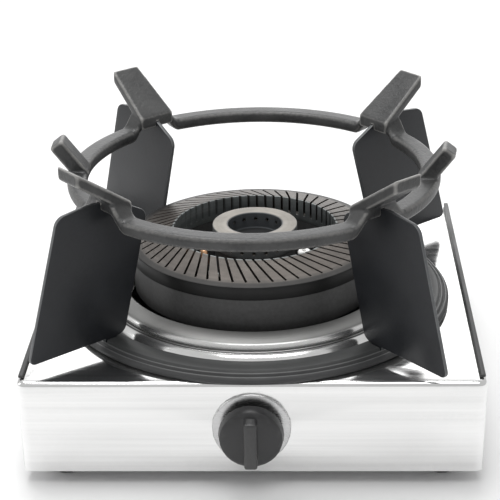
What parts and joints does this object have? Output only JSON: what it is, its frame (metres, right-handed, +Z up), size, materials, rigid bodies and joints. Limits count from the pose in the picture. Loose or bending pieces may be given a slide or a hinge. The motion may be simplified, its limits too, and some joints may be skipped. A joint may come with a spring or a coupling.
{
  "type": "propane burner stand",
  "caption": "Table-top gas burner with a slotted ring burner on a square stainless base, under a cast pan ring with prongs carried on upright wing plates.",
  "frame": {"origin": "centre of the bounding box at the level of the feet's undersides", "axes": "+Z up, -Y toward the knob at the front, +Y toward the gas inlet at the back, +X to the right seen from the front"},
  "size_m": [0.284, 0.332, 0.1961],
  "materials": {
    "stainless": "bright finely brushed stainless sheet",
    "dark_trim": "matt black strip",
    "galvanised": "zinc coated sheet",
    "cast_enamel": "charcoal matt enamel on a casting",
    "enamel_sheet": "charcoal matt enamel on steel plate",
    "dark_casting": "near black cast iron",
    "fired_crown": "warm grey heat stained casting",
    "alloy": "die cast alloy",
    "plain_steel": "plain bright steel",
    "brass": "machined brass",
    "copper": "copper",
    "ceramic": "white glazed porcelain",
    "rubber": "black rubber",
    "black_plastic": "black heat resistant plastic",
    "lead_sleeve": "red insulating sleeve"
  },
  "bodies": {
    "hob": {"bottom_tray": "galvanised", "burner_body": "dark_casting", "burner_bracket_left": "galvanised", "burner_bracket_right": "galvanised", "burner_screw_left": "plain_steel", "burner_screw_right": "plain_steel", "burner_surround": "stainless", "foot_back_left": "rubber", "foot_back_right": "rubber", "foot_front_left": "rubber", "foot_front_right": "rubber", "foot_screw_back_left": "plain_steel", "foot_screw_back_right": "plain_steel", "foot_screw_front_left": "plain_steel", "foot_screw_front_right": "plain_steel", "gas_inlet": "brass", "gas_pipe": "alloy", "igniter_ceramic": "ceramic", "igniter_lead": "lead_sleeve", "igniter_rod": "plain_steel", "inlet_nut": "brass", "inner_jet": "brass", "inner_mixing_tube": "alloy", "knob_bezel": "plain_steel", "outer_jet": "brass", "outer_mixing_tube": "alloy", "piezo_igniter": "black_plastic", "sensor_bracket": "plain_steel", "sensor_bracket_screw": "plain_steel", "side_trim_left": "dark_trim", "side_trim_right": "dark_trim", "thermocouple": "copper", "thermocouple_lead": "copper", "top_shell": "stainless", "valve_body": "alloy", "valve_bracket": "galvanised"},
    "stand": {"support_ring": "cast_enamel", "base_ring": "cast_enamel", "wing_front_right": "enamel_sheet", "wing_back_right": "enamel_sheet", "wing_back_left": "enamel_sheet", "wing_front_left": "enamel_sheet"},
    "crown": {"outer_crown": "fired_crown"},
    "cap": {"inner_cap": "fired_crown"},
    "plug": {"valve_plug": "brass"},
    "knob_and_spindle": {"knob": "black_plastic", "valve_spindle": "plain_steel"},
    "outer_shutter": {"outer_air_shutter": "plain_steel"},
    "inner_shutter": {"inner_air_shutter": "plain_steel"}
  },
  "joints": [
    {"name": "stand_lift", "type": "slide", "parent": "hob", "child": "stand", "axis": [0, 0, 1], "range_m": [0, 0.06]},
    {"name": "crown_lift", "type": "slide", "parent": "hob", "child": "crown", "axis": [0, 0, 1], "range_m": [0, 0.03]},
    {"name": "cap_lift", "type": "slide", "parent": "hob", "child": "cap", "axis": [0, 0, 1], "range_m": [0, 0.03]},
    {"name": "knob_turn", "type": "hinge", "parent": "hob", "child": "plug", "pos_m": [0, -0.142, 0.041], "axis": [0, -1, 0], "range_deg": [0, 180]},
    {"name": "knob_push", "type": "slide", "parent": "plug", "child": "knob_and_spindle", "axis": [0, 1, 0], "range_m": [0, 0.004], "stiffness_N_per_m": 900, "springref_m": -0.003},
    {"name": "outer_shutter_turn", "type": "hinge", "parent": "hob", "child": "outer_shutter", "pos_m": [0.018, -0.097, 0.028], "axis": [0, 1, 0], "range_deg": [0, 50]},
    {"name": "inner_shutter_turn", "type": "hinge", "parent": "hob", "child": "inner_shutter", "pos_m": [-0.012, -0.097, 0.028], "axis": [0, 1, 0], "range_deg": [0, 50]}
  ]
}
